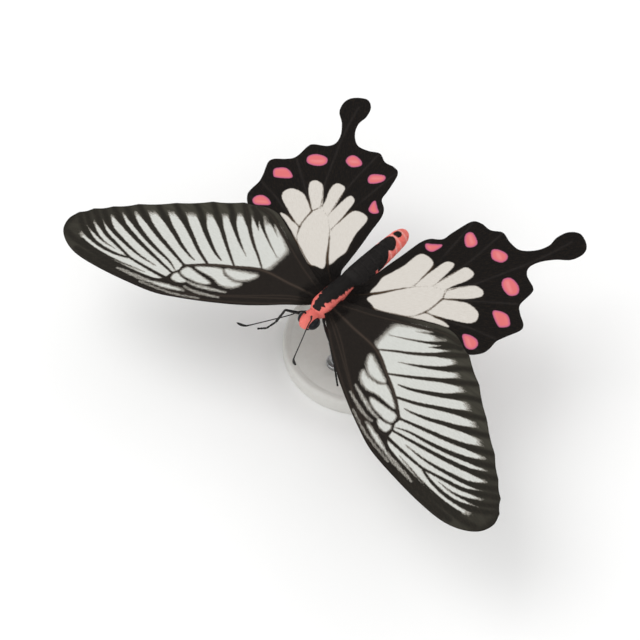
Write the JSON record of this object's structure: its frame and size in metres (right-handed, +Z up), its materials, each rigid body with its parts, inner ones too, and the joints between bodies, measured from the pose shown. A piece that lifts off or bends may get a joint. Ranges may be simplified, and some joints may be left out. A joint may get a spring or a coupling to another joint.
{
  "type": "ceylon rose butterfly",
  "caption": "Life-size swallowtail butterfly with spread black and white wings, red-spotted hindwings with spoon-shaped tails and a red and black body, on a round display stand.",
  "frame": {"origin": "on the underside of the stand's base, below the middle of the whole part's box", "axes": "+X towards the butterfly's left wings, +Y towards its tail, +Z up"},
  "size_m": [0.1128, 0.0682, 0.0313],
  "materials": {
    "wing": "matt scales, black-brown with off-white streaks and coral spots",
    "red_hair": "short coral-red hair",
    "black_hair": "short black hair",
    "black_scales": "flat black scales with coral sides and tip",
    "eye": "glossy, finely faceted",
    "limb": "satin black",
    "stand_white": "satin white",
    "stand_steel": "satin steel"
  },
  "bodies": {
    "root": {"head": "red_hair", "thorax": "black_hair", "abdomen": "black_scales", "eye_left": "eye", "eye_right": "eye", "antenna_left": "limb", "antenna_right": "limb", "proboscis": "limb", "forewing_left": "wing", "forewing_right": "wing", "hindwing_left": "wing", "hindwing_right": "wing", "stand_base": "stand_white", "stand_rod": "stand_steel", "leg_front_left": "limb", "leg_front_right": "limb", "leg_mid_left": "limb", "leg_mid_right": "limb", "leg_hind_left": "limb", "leg_hind_right": "limb"}
  },
  "joints": []
}
